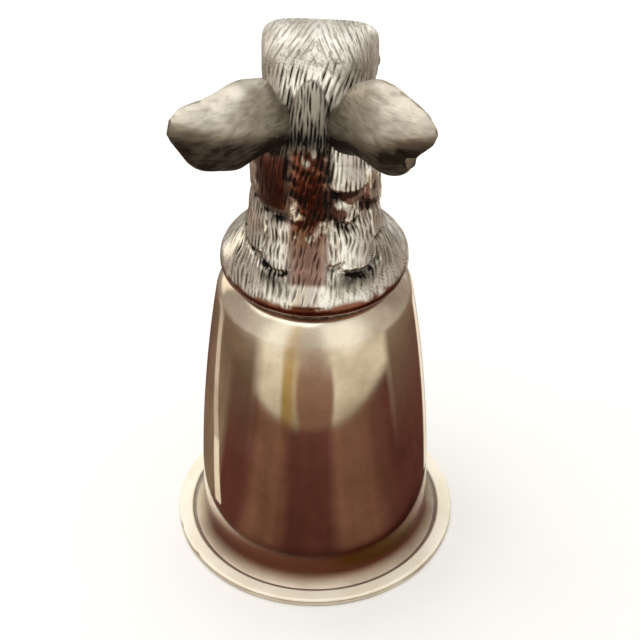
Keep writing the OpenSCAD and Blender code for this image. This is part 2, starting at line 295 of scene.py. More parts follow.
def chased_silver_plate(name, light, mid, dark, satin, polished, grain):
    """Cast silver plate with chased hair: nearly black where old tarnish and polish stay in the
    lines, satin where it was left from the mould and bright where hands rub it. The darkening it
    reads from the mesh also holds painted shade and shadow, and where the mesh asks, a red-brown is
    painted as a reflection. satin and polished are the two roughnesses, and grain is how dark the
    finest lines are."""
    material, tree, shader = new_material(name)
    place = node(tree, "TexCoord").outputs["Object"]
    patina_and_painted_shade = node(tree, "Attribute", attribute_name="patina_and_painted_shade").outputs["Fac"]
    hair = node(tree, "Attribute", attribute_name="hair").outputs["Vector"]
    rubbed = node(tree, "SeparateXYZ", {0: hair}).outputs["Z"]
    # Fine hair lines between the chased ones; the hair is measured in millimetres.
    spread = (1 / FINE_LINE_GAP, 1 / FINE_LINE_LENGTH, 1.0)
    drawn = node(tree, "Mapping", {"Vector": hair, "Scale": spread}).outputs[0]
    noise = {"Vector": drawn, "Scale": 1.0, "Detail": 3.0, "Roughness": 0.6}
    lines = node(tree, "TexNoise", noise).outputs["Fac"]
    noise = {"Vector": place, "Scale": per_metre(CAST_PITS), "Detail": 3.0, "Roughness": 0.65}
    pits = node(tree, "TexNoise", noise).outputs["Fac"]
    noise = {"Vector": place, "Scale": per_metre(CAST_CLOUDS), "Detail": 3.0}
    clouds = node(tree, "TexNoise", noise).outputs["Fac"]
    fine = node(tree, "MapRange", {0: lines, 1: 0.56, 2: 0.72, 3: 0.0, 4: grain}).outputs[0]
    film = node(tree, "MapRange", {0: clouds, 1: 0.45, 2: 0.7, 3: 0.0, 4: 0.13}).outputs[0]
    soil = node(tree, "Math", {0: patina_and_painted_shade, 1: fine}, operation="ADD").outputs[0]
    soil = node(tree, "Math", {0: soil, 1: film}, operation="ADD").outputs[0]
    plate = node(tree, "ValToRGB", {0: soil})
    set_ramp(plate, [(0.0, light), (0.3, mid), (0.75, dark), (1.0, dark)])
    reflected_brown = node(tree, "ValToRGB", {0: soil})
    set_ramp(reflected_brown, [(0.0, REFLECTED_RED_BROWN), (0.3, DARKENED_REFLECTED_BROWN), (0.75, dark), (1.0, dark)])
    painted_reflection_and_wear = node(tree, "Attribute", attribute_name="painted_reflection_and_wear").outputs["Fac"]
    colour = node(tree, "Mix", {0: painted_reflection_and_wear, 6: plate.outputs[0], 7: reflected_brown.outputs[0]}, **MIX)
    tree.links.new(colour.outputs[2], shader.inputs["Base Color"])
    clean = node(tree, "MapRange", {0: rubbed, 1: 0.0, 2: 1.0, 3: satin, 4: polished}).outputs[0]
    rough = node(tree, "MapRange", {0: soil, 1: 0.1, 2: 0.8, 3: clean, 4: 0.6})
    tree.links.new(rough.outputs[0], shader.inputs["Roughness"])
    height = node(tree, "Math", {0: lines, 1: 2.0, 2: pits}, operation="MULTIPLY_ADD").outputs[0]
    relief = node(tree, "Bump", {"Strength": 0.35, "Distance": 0.00008, "Height": height})
    tree.links.new(relief.outputs[0], shader.inputs["Normal"])
    shader.inputs["Metallic"].default_value = 1.0
    return material


def soft_solder(name):
    """Tin and lead solder: dull grey, darkened where it was wiped into the seam."""
    material, tree, shader = new_material(name)
    place = node(tree, "TexCoord").outputs["Object"]
    noise = {"Vector": place, "Scale": per_metre(GRIME_SPECKS), "Detail": 4.0}
    grime = node(tree, "TexNoise", noise).outputs["Fac"]
    ramp = node(tree, "ValToRGB", {0: grime})
    set_ramp(ramp, [(0.35, "#2c2620"), (0.7, "#756c60")])
    tree.links.new(ramp.outputs[0], shader.inputs["Base Color"])
    relief = node(tree, "Bump", {"Strength": 0.5, "Distance": 0.0001, "Height": grime})
    tree.links.new(relief.outputs[0], shader.inputs["Normal"])
    shader.inputs["Metallic"].default_value = 1.0
    shader.inputs["Roughness"].default_value = 0.5
    return material


BOWL_PLATE = spun_silver_plate("spun_silver_plate", "#e2d9c8", "#b9ad97", 0.04, 0.3)
# The lip ring's plate is near white and mostly non-metal: a painted reflection of its bright top.
LIP_PLATE = spun_silver_plate("silver_plate_painted_pale", "#fff8e8", "#f1e7cf", 0.42, 0.0, 0.15)
SEAM_PLATE = spun_silver_plate("plated_solder", "#a39d91", "#8b867a", 0.6, 0.0, 0.5)
HEAD_PLATE = chased_silver_plate(
    "chased_silver_plate", "#ebe8e1", "#a39d91", "#1b1917", satin=0.42, polished=0.13, grain=0.24)
# The ears' plate is the head's cast silver with a satin finish, its tones darker as painted shade.
EAR_PLATE = chased_silver_plate(
    "satin_silver_plate_painted_darker", "#c4beb1", "#8d8577", "#2e2822", satin=0.44, polished=0.44, grain=0.1)
SOLDER = soft_solder("soft_solder")


# Pieces

def add_piece(name, points, faces, material, replaced, shades):
    """A mesh in millimetres becomes a named piece that stands for a node of the part. shades hold
    a value or vector for each point, which the material reads by name."""
    mesh = bpy.data.meshes.new(name)
    mesh.from_pydata((np.asarray(points) * MM).tolist(), [], faces)
    mesh.update()
    for key, values in shades.items():
        values = np.asarray(values, dtype=np.float32)
        kind = "FLOAT" if values.ndim == 1 else "FLOAT_VECTOR"
        data = mesh.attributes.new(key, kind, "POINT").data
        data.foreach_set("value" if kind == "FLOAT" else "vector", values.ravel())
    mesh.polygons.foreach_set("use_smooth", [True] * len(mesh.polygons))
    mesh.materials.append(material)
    piece = bpy.data.objects.new(name, mesh)
    bpy.context.collection.objects.link(piece)
    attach(piece, "root")
    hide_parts(replaced)


def tube_faces(rows, columns, closed_rows=False):
    """Quads of a grid whose columns close round; the rows close too on a ring."""
    faces = []
    for i in range(rows if closed_rows else rows - 1):
        low, high = i * columns, ((i + 1) % rows) * columns
        for j in range(columns):
            k = (j + 1) % columns
            faces.append((low + j, low + k, high + k, high + j))
    return faces


def capped_faces(rows, columns, first=0, flip=False):
    """Faces of a tube that is closed at both ends, for points that are numbered from first on."""
    faces = tube_faces(rows, columns)
    faces.append(tuple(range(columns))[::-1])
    faces.append(tuple((rows - 1) * columns + j for j in range(columns)))
    way = -1 if flip else 1
    return [tuple(first + k for k in face[::way]) for face in faces]


def turned(name, outline, segments, material, replaced, shades, wobble=None):
    """A closed outline of radius and height turned round the cup's axis. wobble moves its points,
    and shades give values for the material, both by radius, height and angle."""
    outline = np.asarray(outline)
    angle = np.linspace(0, 2 * math.pi, segments, endpoint=False)[None, :]
    r, z = outline[:, 0:1] + 0 * angle, outline[:, 1:2] + 0 * angle
    if wobble:
        r, z = wobble(r, z, angle)
    points = np.stack([r * np.cos(angle), r * np.sin(angle), z], -1).reshape(-1, 3)
    values = {key: shade(r, z, angle).ravel() for key, shade in shades.items()}
    faces = tube_faces(len(outline), segments, True)
    add_piece(name, points, faces, material, replaced, values)


def arc(centre, radius, start, end, count):
    """Points on an arc from one angle to another, in degrees."""
    a = np.radians(np.linspace(start, end, count))
    return np.stack([centre[0] + radius * np.cos(a), centre[1] + radius * np.sin(a)], -1)


def bowl_side(inset, reach_z):
    """The bowl's face from the lip up to its closed end, at a depth inside its outer face."""
    reach = LIP_R - RING_W - BOWL_R
    drop = UPRIGHT_Z - LIP_T
    cove_r = (reach**2 + drop**2) / (2 * reach)
    lean = math.degrees(math.asin((BOWL_H - SHOULDER_R - UPRIGHT_Z) / (WALL_ARC_R - SHOULDER_R)))
    shoulder_x = BOWL_R - WALL_ARC_R + (WALL_ARC_R - SHOULDER_R) * math.cos(math.radians(lean))
    dip = math.degrees(math.asin((UPRIGHT_Z - reach_z) / (cove_r + inset)))
    cove = arc((BOWL_R + cove_r, UPRIGHT_Z), cove_r + inset, 180 + dip, 180, 24)
    wall = arc((BOWL_R - WALL_ARC_R, UPRIGHT_Z), WALL_ARC_R - inset, 0, lean, 48)
    shoulder = arc((shoulder_x, BOWL_H - SHOULDER_R), SHOULDER_R - inset, lean, 90, 24)
    end = np.array([[0.3 * shoulder_x, BOWL_H - inset], [0.02, BOWL_H - inset]])
    return np.concatenate([cove, wall[1:], shoulder[1:], end])


def way_round(angle):
    """Degrees round the cup from -90 in front of the face over 90 at the nape to 270."""
    return (np.degrees(angle) + 90) % 360 - 90


def nape_side(angle):
    """1 on the side of the cup away from the face, fading out at its sides."""
    return band((2, 36), (172, 200), way_round(angle))


def make_bowl():
    """The bowl, spun in one piece from its lip to its closed end."""
    edge = arc((LIP_R - LIP_T / 2, LIP_T / 2), LIP_T / 2, -90, 90, 12)
    outside = bowl_side(0.0, LIP_T)
    inside = bowl_side(WALL_T, 0.0)[::-1]

    def hand_worked(r, z, angle):
        # Faint unevenness left by the spinner's tool and by handling
        soft = 0.05 * ripple(3.0 * angle / math.pi + 5, z / 22.0, 11) * smooth(6, 20, z)
        return r + np.where(r > 3, soft, 0), z

    def dark_groove_and_painted_reflection(r, z, angle):
        # Painted reflection: dark brown in the cove on the side away from the face, with a thicker
        # olive patch along its right
        way = way_round(angle)
        top = 8.8 + 6.0 * smooth(120, 165, way)
        cove = nape_side(angle) * smooth(-0.5, 5.5, z) * (1 - smooth(top, top + 6.0, z))
        olive_reflection = band((95, 125), (146, 158), way) * bump(z - 9, 3.0)
        return np.clip(FULL_BROWN_COVER * cove + 0.6 * olive_reflection, 0, 1) * (r > BOWL_R - 0.5 * WALL_T)

    def dull(r, z, angle):
        # No cloth polishes the foot of the wall, nor the shoulder under the collar
        foot = band((-30, 0), (180, 210), way_round(angle)) * (1 - smooth(5.0, 13.0, z))
        return np.maximum(foot, 0.26 * smooth(68, 76, z))

    outline = np.concatenate([edge, outside, inside])
    shades = {"dark_groove_and_painted_reflection": dark_groove_and_painted_reflection, "dull": dull}
    turned("bowl", outline, BOWL_SEGMENTS, BOWL_PLATE, "cup_bowl", shades, hand_worked)


# The ring's inner radius and underside, and its nicks: angle and half width in radians, and depth
RING_IN = LIP_R - RING_W
RING_LOW = LIP_T + SOLDER_T
NICKS = [(0.35, 0.03, 0.35), (0.66, 0.035, 0.4), (3.9, 0.06, 0.3), (5.3, 0.04, 0.2)]


def make_lip_ring():
    """The flat ring on the lip, with a rolled inner edge and a few nicks in its rim."""
    half = RING_T / 2
    outer_edge = arc((LIP_R - half, RING_LOW + half), half, -90, 80, 12)
    lean = np.linspace(0, 1, 12)[1:-1, None]
    top_out = np.array([[LIP_R - half, RING_LOW + RING_T]])
    top_in = np.array([[RING_IN + 0.5, RING_LOW + 0.75]])
    top = between(top_out, top_in, lean)
    inner_edge = arc((RING_IN + 0.45, RING_LOW + 0.3), 0.45, 90, 180, 9)
    outline = np.concatenate([outer_edge, top, inner_edge, [[RING_IN, RING_LOW]]])

    def painted_reflection_and_wear(r, z, angle):
        dents = 0.0
        for where, wide, depth in NICKS:
            dents = dents + depth * bump(np.angle(np.exp(1j * (angle - where))), wide)
        outward = smooth(RING_IN + 1.6, LIP_R, r)
        return r - dents * outward, z - 0.15 * dents * outward

    def darker_at_groove(r, z, angle):
        # A little darker at the groove along the ring's inner edge
        return 0.14 * (1 - smooth(RING_IN + 0.15, RING_IN + 0.5, r))

    shades = {"dark_groove_and_painted_reflection": darker_at_groove}
    turned("lip_band", outline, RING_SEGMENTS, LIP_PLATE, "lip_ring", shades, painted_reflection_and_wear)


def make_lip_seam():
    """Solder under the ring that runs out inside it in a soft hollow against the bowl's cove."""
    top = RING_LOW + RING_T - RING_EDGE_R
    hollow_r = 0.7 * SEAM_W
    centre = (RING_IN - SEAM_W / 2, top + 0.9 * math.sqrt(hollow_r**2 - SEAM_W**2 / 4))
    hollow = arc(centre, hollow_r, -44, -98, 14)
    foot = np.array([[LIP_R - RING_T, LIP_T], [LIP_R - RING_T, RING_LOW], [RING_IN, RING_LOW]])
    back = np.array([[hollow[-1, 0] + 0.2, LIP_T]])

    def reflection_runs_out(r, z, angle):
        # The cove's painted dark reflection runs on over the hollow and fades outward; all round, the
        # tone rises again next to the ring's groove.
        fade = nape_side(angle) * between(0.75, 0.3, smooth(hollow[-1, 0], RING_IN, r))
        return FULL_BROWN_COVER * np.maximum(fade, 0.35 * smooth(RING_IN - 0.7, RING_IN, r))

    outline = np.concatenate([foot, hollow, back])
    shades = {"dark_groove_and_painted_reflection": reflection_runs_out}
    turned("lip_seam", outline, BOWL_SEGMENTS, SEAM_PLATE, "lip_solder", shades)


# Stations of the head, as in the part's source: the point on the back line and on the throat
# line, both as forward and up, the half width, the share of the depth at which it is widest,
# and how square the upper and lower halves are
def level(r, z):
    """A round, level station on the cup's axis."""
    return [-r, z, r, z, r, 0.5, 2, 2]


def face(share, half_w, widest, square_top, square_under):
    """A station of the face, at a share of the way from below the brow to the nose."""
    return [
        between(BROW_F + 0.174 * NOSE_REACH, 0.957 * NOSE_REACH, share),
        between(FOREHEAD_Z - 0.074 * FOREHEAD_H, NOSE_Z, share),
        between(BROW_F + 0.424 * NOSE_REACH, 0.989 * NOSE_REACH, share),
        between(THROAT_Z - 0.225 * THROAT_H, CHIN_Z, share),
        half_w, widest, square_top, square_under,
    ]


HEAD_STATIONS = [
    level(0.9 * COLLAR_R, SEAT_Z),
    level(COLLAR_R - 0.4, SEAT_Z + 0.07 * COLLAR_H),
    level(COLLAR_R - 0.3, SEAT_Z + 0.25 * COLLAR_H),
    level(between(NECK_R, COLLAR_R, 0.55), SEAT_Z + 0.55 * COLLAR_H),
    level(between(NECK_R, COLLAR_R, 0.2), SEAT_Z + 0.75 * COLLAR_H),
    level(NECK_R + 0.2, NECK_Z),
    [-NECK_R - 0.1, NECK_Z + 0.56 * COLLAR_H, NECK_R - 0.6, 0.98 * THROAT_Z, NECK_R - 0.2, 0.5, 2, 2],
    [-NECK_R - 0.9, THROAT_Z + 0.5 * THROAT_H, NECK_R - 0.2, THROAT_Z + 0.4, NECK_R - 0.7, 0.5, 2.1, 2],
    [-0.9 * NECK_R, THROAT_Z + 0.38 * FOREHEAD_H, 1.18 * NECK_R, THROAT_Z, NECK_R - 0.9, 0.46, 2.3, 2],
    [-0.48 * NECK_R, POLL_Z, 1.455 * NECK_R, THROAT_Z - 0.05 * THROAT_H, 0.887 * BROW_R, 0.4, 3, 2],
    [
        0.2 * BROW_F, FOREHEAD_Z - 0.3,
        1.76 * NECK_R, THROAT_Z - 0.12 * THROAT_H,
        0.94 * BROW_R, 0.3, 3.8, 2,
    ],
    [BROW_F, FOREHEAD_Z, 0.649 * NOSE_REACH, THROAT_Z - 0.183 * THROAT_H, BROW_R, 0.24, 4.4, 2.1],
    face(0, BROW_R - 1.2, 0.27, 3.8, 2.2),
    face(0.3, between(MUZZLE_R, BROW_R, 0.4), 0.34, 2.7, 2.3),
    face(0.55, between(MUZZLE_R, BROW_R, 0.08), 0.42, 2.5, 2.3),
    face(0.78, MUZZLE_R - 0.3, 0.46, 2.5, 2.4),
    face(0.93, MUZZLE_R, 0.46, 2.5, 2.4),
    face(1, MUZZLE_R - 0.8, 0.46, 2.4, 2.4),
    [
        1.026 * NOSE_REACH, NOSE_Z - 0.354 * MUZZLE_DEPTH,
        1.033 * NOSE_REACH, CHIN_Z + 0.338 * MUZZLE_DEPTH,
        0.36 * MUZZLE_R, 0.46, 2.2, 2.2,
    ],
]
# Columns crowd towards the back line, which the hair and the viewer need most.
CROWDING = 25.0
# Places along the head, counted in stations: the collar's upper edge, the poll's edge, the brow,
# the eye and the nostril. The last two also have a side, in degrees round from the back line.
COLLAR_TOP = (5.8, 6.1)
POLL_EDGE = (9.3, 9.8)
BROW_PLACE = 12.4
EYE_PLACE, EYE_SIDE = 11.5, 98.0
NOSTRIL_PLACE, NOSTRIL_SIDE = 17.0, 60
# The mane's half width in millimetres, and the place where it ends on the poll
MANE_HALF = 4.4
MANE_END = 9.05
# Kinds of chased lines: spacing, length and half width in millimetres, seed, and the share of
# them that was cut at all
HEAD_HAIR = (1.55, 8.5, 0.19, 1, 0.9)
NECK_HAIR = (1.25, 7.0, 0.19, 5, 0.8)
COLLAR_HAIR = (1.1, 4.2, 0.22, 6, 0.9)
FINE_HAIR = (0.7, 2.6, 0.12, 15, 0.6)
MANE_DASHES = (1.2, 3.4, 0.2, 7, 0.7)
CREST_GROOVES = (0.8, 5.0, 0.17, 9, 0.9)
EAR_LINES = (0.75, 2.4, 0.14, 21, 0.7)


def head_skin(u, angle):
    """Points of the head's plain skin, for a column of places and a row of angles in degrees."""
    s = curve(HEAD_STATIONS, u[:, 0])[:, None, :]
    back, throat = s[..., 0:2], s[..., 2:4]
    depth = np.linalg.norm(throat - back, axis=-1)
    up = (back - throat) / depth[..., None]
    a, b = np.cos(np.radians(angle)), np.sin(np.radians(angle))
    square = np.where(a > 0, s[..., 6], s[..., 7])
    reach = (np.abs(a) ** square + np.abs(b) ** square) ** (-1 / square)
    half = np.where(a > 0, s[..., 5], 1 - s[..., 5]) * depth
    x = s[..., 4] * reach * b
    middle = back + s[..., 5:6] * (throat - back)
    fu = middle + (half * reach * a)[..., None] * up
    return np.stack([x, -fu[..., 0], fu[..., 1]], -1)


# Locks of fur: the middle and half width in degrees round from the nape, the places of tip and
# root along the head, how far the tip stands out, how much more the root does, and how much the
# tip's edge slants. The back of the neck has its own locks, and the front an even row of each.
LOCKS = [
    (46, 31, 5.95, 7.7, 0.55, 0.75, 0.2), (86, 12, 6.1, 7.5, 0.2, 0.0, 0.0),
    (-38, 20, 6.45, 7.5, 1.3, -1.3, 0.1), (-43, 13, 6.1, 6.7, 0.55, 0.5, 0.0),
    (-36, 13, 5.6, 6.3, 0.8, -0.3, 0.0), (-74, 15, 5.7, 7.4, 1.2, 0.2, 0.1),
    (27, 14, 3.35, 5.9, 0.8, 0.0, 0.1), (57, 16, 3.8, 6.0, 0.75, 0.0, 0.1),
    (88, 15, 4.2, 6.0, 0.6, 0.0, 0.0), (-44, 20, 3.25, 5.7, 1.1, -0.1, 0.0),
    (-22, 8, 3.8, 5.6, 0.6, 0.0, 0.0), (-84, 19, 4.2, 5.9, 0.6, 0.0, 0.0),
]
LOCKS += [(a, 11, 5.7 + 0.3 * (a % 3), 7.2, 0.6, 0.2, 0.1) for a in range(108, 254, 18)]
LOCKS += [(a, 13, 4.1 + 0.2 * (a % 3), 5.8, 0.7, 0.0, 0.1) for a in range(112, 250, 22)]


def lay_locks(u, angle):
    """How far the locks stand out, and the pits under their tips, which are darkened with painted
    shadow.
    """
    fur, pits = 0 * u + 0 * angle, 0 * u + 0 * angle
    for middle, half, tip, root, step, more, slant in LOCKS:
        across = ((angle - middle + 180) % 360 - 180) / half
        ragged = 0.08 * ripple(2.4 * across + middle, 0 * across + tip, 3)
        low = tip + slant * across + 0.16 * across**2 + ragged
        above = u - low
        rooted = above / (root - low)
        inside = (1 - smooth(0.88, 1.08, np.abs(across))) * smooth(-0.04, 0.04, above)
        inside = inside * (1 - smooth(0.7, 1.0, rooted))
        fur = np.maximum(fur, inside * (step + more * rooted))
        under_tip = bump(above + 0.16, 0.16) * (1 - smooth(0.75, 1.0, np.abs(across)))
        pits = np.maximum(pits, under_tip) * (1 - 0.9 * inside)
    return fur, pits


# Middle of the left eye, the way that it slants towards the nose, and the way across it. The eye
# is a ball drawn out along its slant and sunk by a share of its size.
EYE_AT = head_skin(np.array([[EYE_PLACE]]), np.array([[EYE_SIDE]]))[0, 0]
EYE_WAY = np.array([0.0, -math.cos(EYE_SLANT), -math.sin(EYE_SLANT)])
EYE_UP = np.array([0.0, -math.sin(EYE_SLANT), math.cos(EYE_SLANT)])
EYE_AXES = np.array([(0.5, 0, 0), 0.68 * EYE_WAY, 0.48 * EYE_UP]) * EYE_D
EYE_SUNK = 0.41 * EYE_D


def model_face(u, side, skin):
    """How far the face stands out of the plain skin, and how dark its lines are chased: almond eye
    sockets with lids under a brow, a nose pad with nostrils, the mouth and a rounded chin. The eye
    sockets are also a little darker."""
    from_eye = skin - EYE_AT
    along, across = from_eye @ EYE_WAY, from_eye @ EYE_UP
    socket = bump(along, 4.6) * bump(across, 3.4)
    almond = np.abs(along / 4.1) ** 1.5 + (across / 2.8) ** 2
    lid = bump(almond - 1.3, 0.35)
    eye_line = bump(almond - 0.9, 0.3)
    brow = bump(across - 4.6, 1.3) * bump(along, 4.5)
    past = u - NOSTRIL_PLACE
    nostril = bump(np.hypot(past / 0.3, (side - NOSTRIL_SIDE - 20 * past) / 14), 0.85)
    slanted, upper = u + 0.004 * side, 1 - smooth(84, 92, side)
    pad = smooth(16.55, 16.75, slanted) * upper
    pad_line = bump(slanted - 16.6, 0.09) * upper
    mouth = smooth(14.0, 14.6, u) * bump(side - 115, 4.5)
    chin = bump(u - 17.2, 0.9) * smooth(110, 165, side)
    lines = np.maximum.reduce(
        [0.9 * nostril, 0.8 * mouth, 0.3 * socket, 0.8 * eye_line, 0.5 * pad_line])
    raised = 0.3 * lid + 0.4 * brow + 0.3 * pad
    return raised - 0.8 * socket - 0.9 * nostril - 0.55 * mouth - 0.9 * chin, lines


def model_eye(sign, first):
    """One eye, cast in one with the head: its points, its faces and its patina."""
    polar = np.linspace(0.04, math.pi - 0.04, EYE_ROWS)[:, None]
    turn = np.linspace(0, 2 * math.pi, EYE_COLUMNS, endpoint=False)[None, :]
    ball = [np.cos(polar) + 0 * turn, np.sin(polar) * np.cos(turn), np.sin(polar) * np.sin(turn)]
    centre = EYE_AT * (sign, 1, 1) - (sign * EYE_SUNK, 0, 0)
    points = (np.stack(ball, -1).reshape(-1, 3) @ EYE_AXES) * (sign, 1, 1) + centre
    # The iris is chased as a ring round a dark pupil.
    patina_and_painted_shade = 0.03 + 0.25 * bump(polar - 0.75, 0.1) + 0.5 * bump(polar, 0.4) + 0 * turn
    return points, capped_faces(EYE_ROWS, EYE_COLUMNS, first, sign < 0), patina_and_painted_shade.ravel()


def make_head():
    """The doe's head with its neck, mane, fur collar and eyes, cast in one."""
    fine_u = np.linspace(0, len(HEAD_STATIONS) - 1, 4000)
    station = curve(HEAD_STATIONS, fine_u)
    path = np.concatenate([station[:, 0:2], 0.8 * station[:, 2:4]], axis=1)
    shares = even_places(path, HEAD_ROWS)
    u = np.interp(shares, np.linspace(0, 1, len(fine_u)), fine_u)[:, None]
    t = np.linspace(-0.5, 0.5, HEAD_COLUMNS, endpoint=False)[None, :]
    angle = 360 * t - CROWDING * np.sin(2 * np.pi * t)
    skin = head_skin(u, angle)
    normal = grid_normals(skin)

    # Millimetres round each ring from the back line, and along the back line from the collar
    middle = HEAD_COLUMNS // 2
    hop = np.linalg.norm(np.diff(skin, axis=1), axis=-1)
    run = np.concatenate([np.zeros((HEAD_ROWS, 1)), np.cumsum(hop, axis=1)], axis=1)
    around = run - run[:, middle:middle + 1]
    climb = np.linalg.norm(np.diff(skin[:, middle], axis=0), axis=1)
    along = np.concatenate([[0], np.cumsum(climb)])[:, None]
    aside, side = np.abs(around), np.abs(angle)

    def uneven(across_mm, along_mm, seed):
        return ripple(around / across_mm, along / along_mm, seed)

    # The mane: a flat band down the nape from the poll to the collar, with a tuft between the ears
    past_mane = u - (MANE_END - 0.035 * around**2)
    mane = smooth(1.8, 2.1, u) * (1 - smooth(-0.06, 0.06, past_mane))
    mane = mane / (1 + (around / MANE_HALF) ** 10)
    crest = mane * smooth(7.4, 7.8, u)
    beside = 1 - mane
    tuft = 1.2 * bump(around, 3.6) * smooth(6.2, 8.2, u) * (1 - smooth(-0.2, 0.12, past_mane))
    locks, pits = lay_locks(u, angle)
    fur = locks * beside - 0.5 * pits * beside
    # The pits' darkening, broken up, is painted shadow under the locks.
    pits = pits * beside * (0.3 + 0.7 * smooth(-0.3, 0.4, uneven(1.6, 1.0, 29)))

    # Chased hair: it parts on the forehead and spreads towards the ears, runs down the neck and
    # fans out over the collar. The collar's rolled edge is plain.
    poll_run, brow_run = np.interp([POLL_EDGE[0], BROW_PLACE], u[:, 0], along[:, 0])
    backward = np.clip((brow_run - along) / (brow_run - poll_run), 0, 1.4)
    head_across = aside - 8.5 * (0.25 * backward + 0.75 * backward**2)
    neck_across = around + 0.14 * along + 0.7 * uneven(7, 9, 2)
    collar_across = around * 0.9 + 0.8 * uneven(5, 4, 3)
    dash_across = around + 0.2 * along + 0.25 * uneven(2.5, 2.5, 17)
    groove_across = around + 0.4 * uneven(2, 5, 5)
    on_head = smooth(*POLL_EDGE, u)
    on_collar = 1 - smooth(*COLLAR_TOP, u)
    on_neck = (1 - on_head) * (1 - on_collar)
    fine_across = between(neck_across, head_across, on_head) + 0.4
    muzzle = smooth(13.4, 14.6, u)
    roll = smooth(1.75, 2.05, u + 0.15 * ripple(around / 1.3, 0 * around + 2.0, 8))
    bare = 1 - 0.5 * bump(angle - 34, 14) * band((5.9, 6.1), (7.6, 8.2), u)
    patchy = smooth(-1.1, 0.0, uneven(4.5, 3.5, 23))
    # The collar swells to a soft rim at its sides, with fewer lines on it, and a shallow hollow above
    # it.
    rim = bump(u - 2.3, 0.4) * smooth(45, 75, side)
    hollow = bump(u - 3.4, 0.4) * beside
    hair_head = strokes(head_across, along, *HEAD_HAIR) * on_head * (1 - 0.7 * muzzle)
    hair_neck = strokes(neck_across, along, *NECK_HAIR) * on_neck * beside * bare * patchy
    hair_collar = strokes(collar_across, along, *COLLAR_HAIR) * on_collar * roll * beside
    hair_collar = hair_collar * patchy * (1 - 0.8 * rim)
    fine = strokes(fine_across, along, *FINE_HAIR) * roll * beside
    dashes = strokes(dash_across, along, *MANE_DASHES) * (mane - crest) * roll
    dashes = dashes * between(0.75, 1.0, smooth(5.0, 5.8, u))
    grooves = strokes(groove_across, along, *CREST_GROOVES) * crest

    face_form, face_lines = model_face(u, side, skin)
    height = fur + 0.4 * rim - 0.3 * hollow + 0.35 * mane + tuft + face_form
    height = height - 0.13 * hair_head - 0.28 * hair_neck - 0.24 * hair_collar
    height = height - 0.08 * fine - 0.3 * dashes - 0.35 * grooves
    height = height + 0.05 * uneven(2.2, 2.2, 12) * (1 - on_head)
    points = skin + height[..., None] * normal
    points[..., 2] = np.maximum(points[..., 2], SEAT_Z)

    # Darkening: tarnish in the chased lines and on the face. Painted shadow in the pits under the
    # locks, along the mane's edges between the ears, under the ears at the crest's lower end and below
    # the collar's locks on both sides of the mane; the crest is darker between the ears, and painted
    # shade at the poll dims a highlight there.
    lines = np.maximum.reduce(
        [0.48 * hair_head, hair_neck, 0.95 * hair_collar, 0.35 * fine, dashes, 0.58 * grooves])
    shaded_mane_edge = bump(aside - 4.6, 0.7) * band((6.4, 7.0), (8.6, 9.1), u)
    # Painted shade at the poll dims a highlight there.
    poll = 0.2 * bump(u - 9.5, 0.6)
    dark_crest_and_ear_shadow = 0.3 * crest * (1 - 0.6 * smooth(8.5, 9.0, u)) + 0.3 * mane * bump(u - 7.7, 0.3)
    right_lock_shadow = 0.75 * bump(angle + 34, 17) * bump(u - 2.85, 0.36)
    left_lock_shadow = 0.7 * bump(angle - 25, 10) * bump(u - 2.85, 0.3)
    collar_lock_shadows = (right_lock_shadow + left_lock_shadow) * beside * (0.75 + 0.25 * uneven(1.5, 1.2, 47))
    patina_and_painted_shade = 1.1 * lines + 0.85 * pits + face_lines + 0.4 * shaded_mane_edge + dark_crest_and_ear_shadow + poll + collar_lock_shadows

    # Painted red-brown reflection: on the rolled edge, down the mane, on the big lock left of it and
    # in the hollows; the big lock and the hollows are darkened a little as well.
    mottle = uneven(3.5, 3.0, 41)
    reflection_mottle = mottle + 0.5 * uneven(1.5, 1.5, 44)
    reflection_mottle = reflection_mottle + 1.2 * (1 - smooth(4.8, 5.4, u)) + 0.6 * smooth(6.1, 6.6, u)
    low_mane = (mane - crest) * between(0.85 * smooth(2.7, 2.9, u), 1.0, smooth(5.2, 5.7, u))
    low_mane = low_mane * smooth(-0.45, -0.15, reflection_mottle)
    big_lock = smooth(0.3, 0.7, bump(angle - 36, 24) + 0.2 * mottle) * smooth(3.2, 4.4, aside)
    big_lock = big_lock * band((5.8, 6.05), (7.2, 7.9), u)
    hollows = smooth(0.1, 0.35, mottle) * smooth(0.3, 0.6, bump(angle + 40, 34))
    hollows = hollows * band((5.5, 5.8), (6.9, 7.3), u)
    painted_reflection_and_wear = np.maximum.reduce([1 - roll, low_mane, big_lock, 0.9 * hollows])
    flecks = smooth(-0.3, 0.5, uneven(1.3, 1.1, 43)) * low_mane * smooth(5.2, 5.8, u)
    patina_and_painted_shade = np.clip(patina_and_painted_shade + 0.4 * flecks + 0.22 * big_lock + 0.2 * hollows, 0, 1)

    # Hair for the material: millimetres across and along the lines, and how far hands polish it
    across = on_head * head_across + on_neck * neck_across + on_collar * collar_across
    polish = np.clip(1 - smooth(8.2, 8.9, u) - crest - shaded_mane_edge, 0, 1)
    hair = np.stack([across, along + 0 * across, polish], -1)

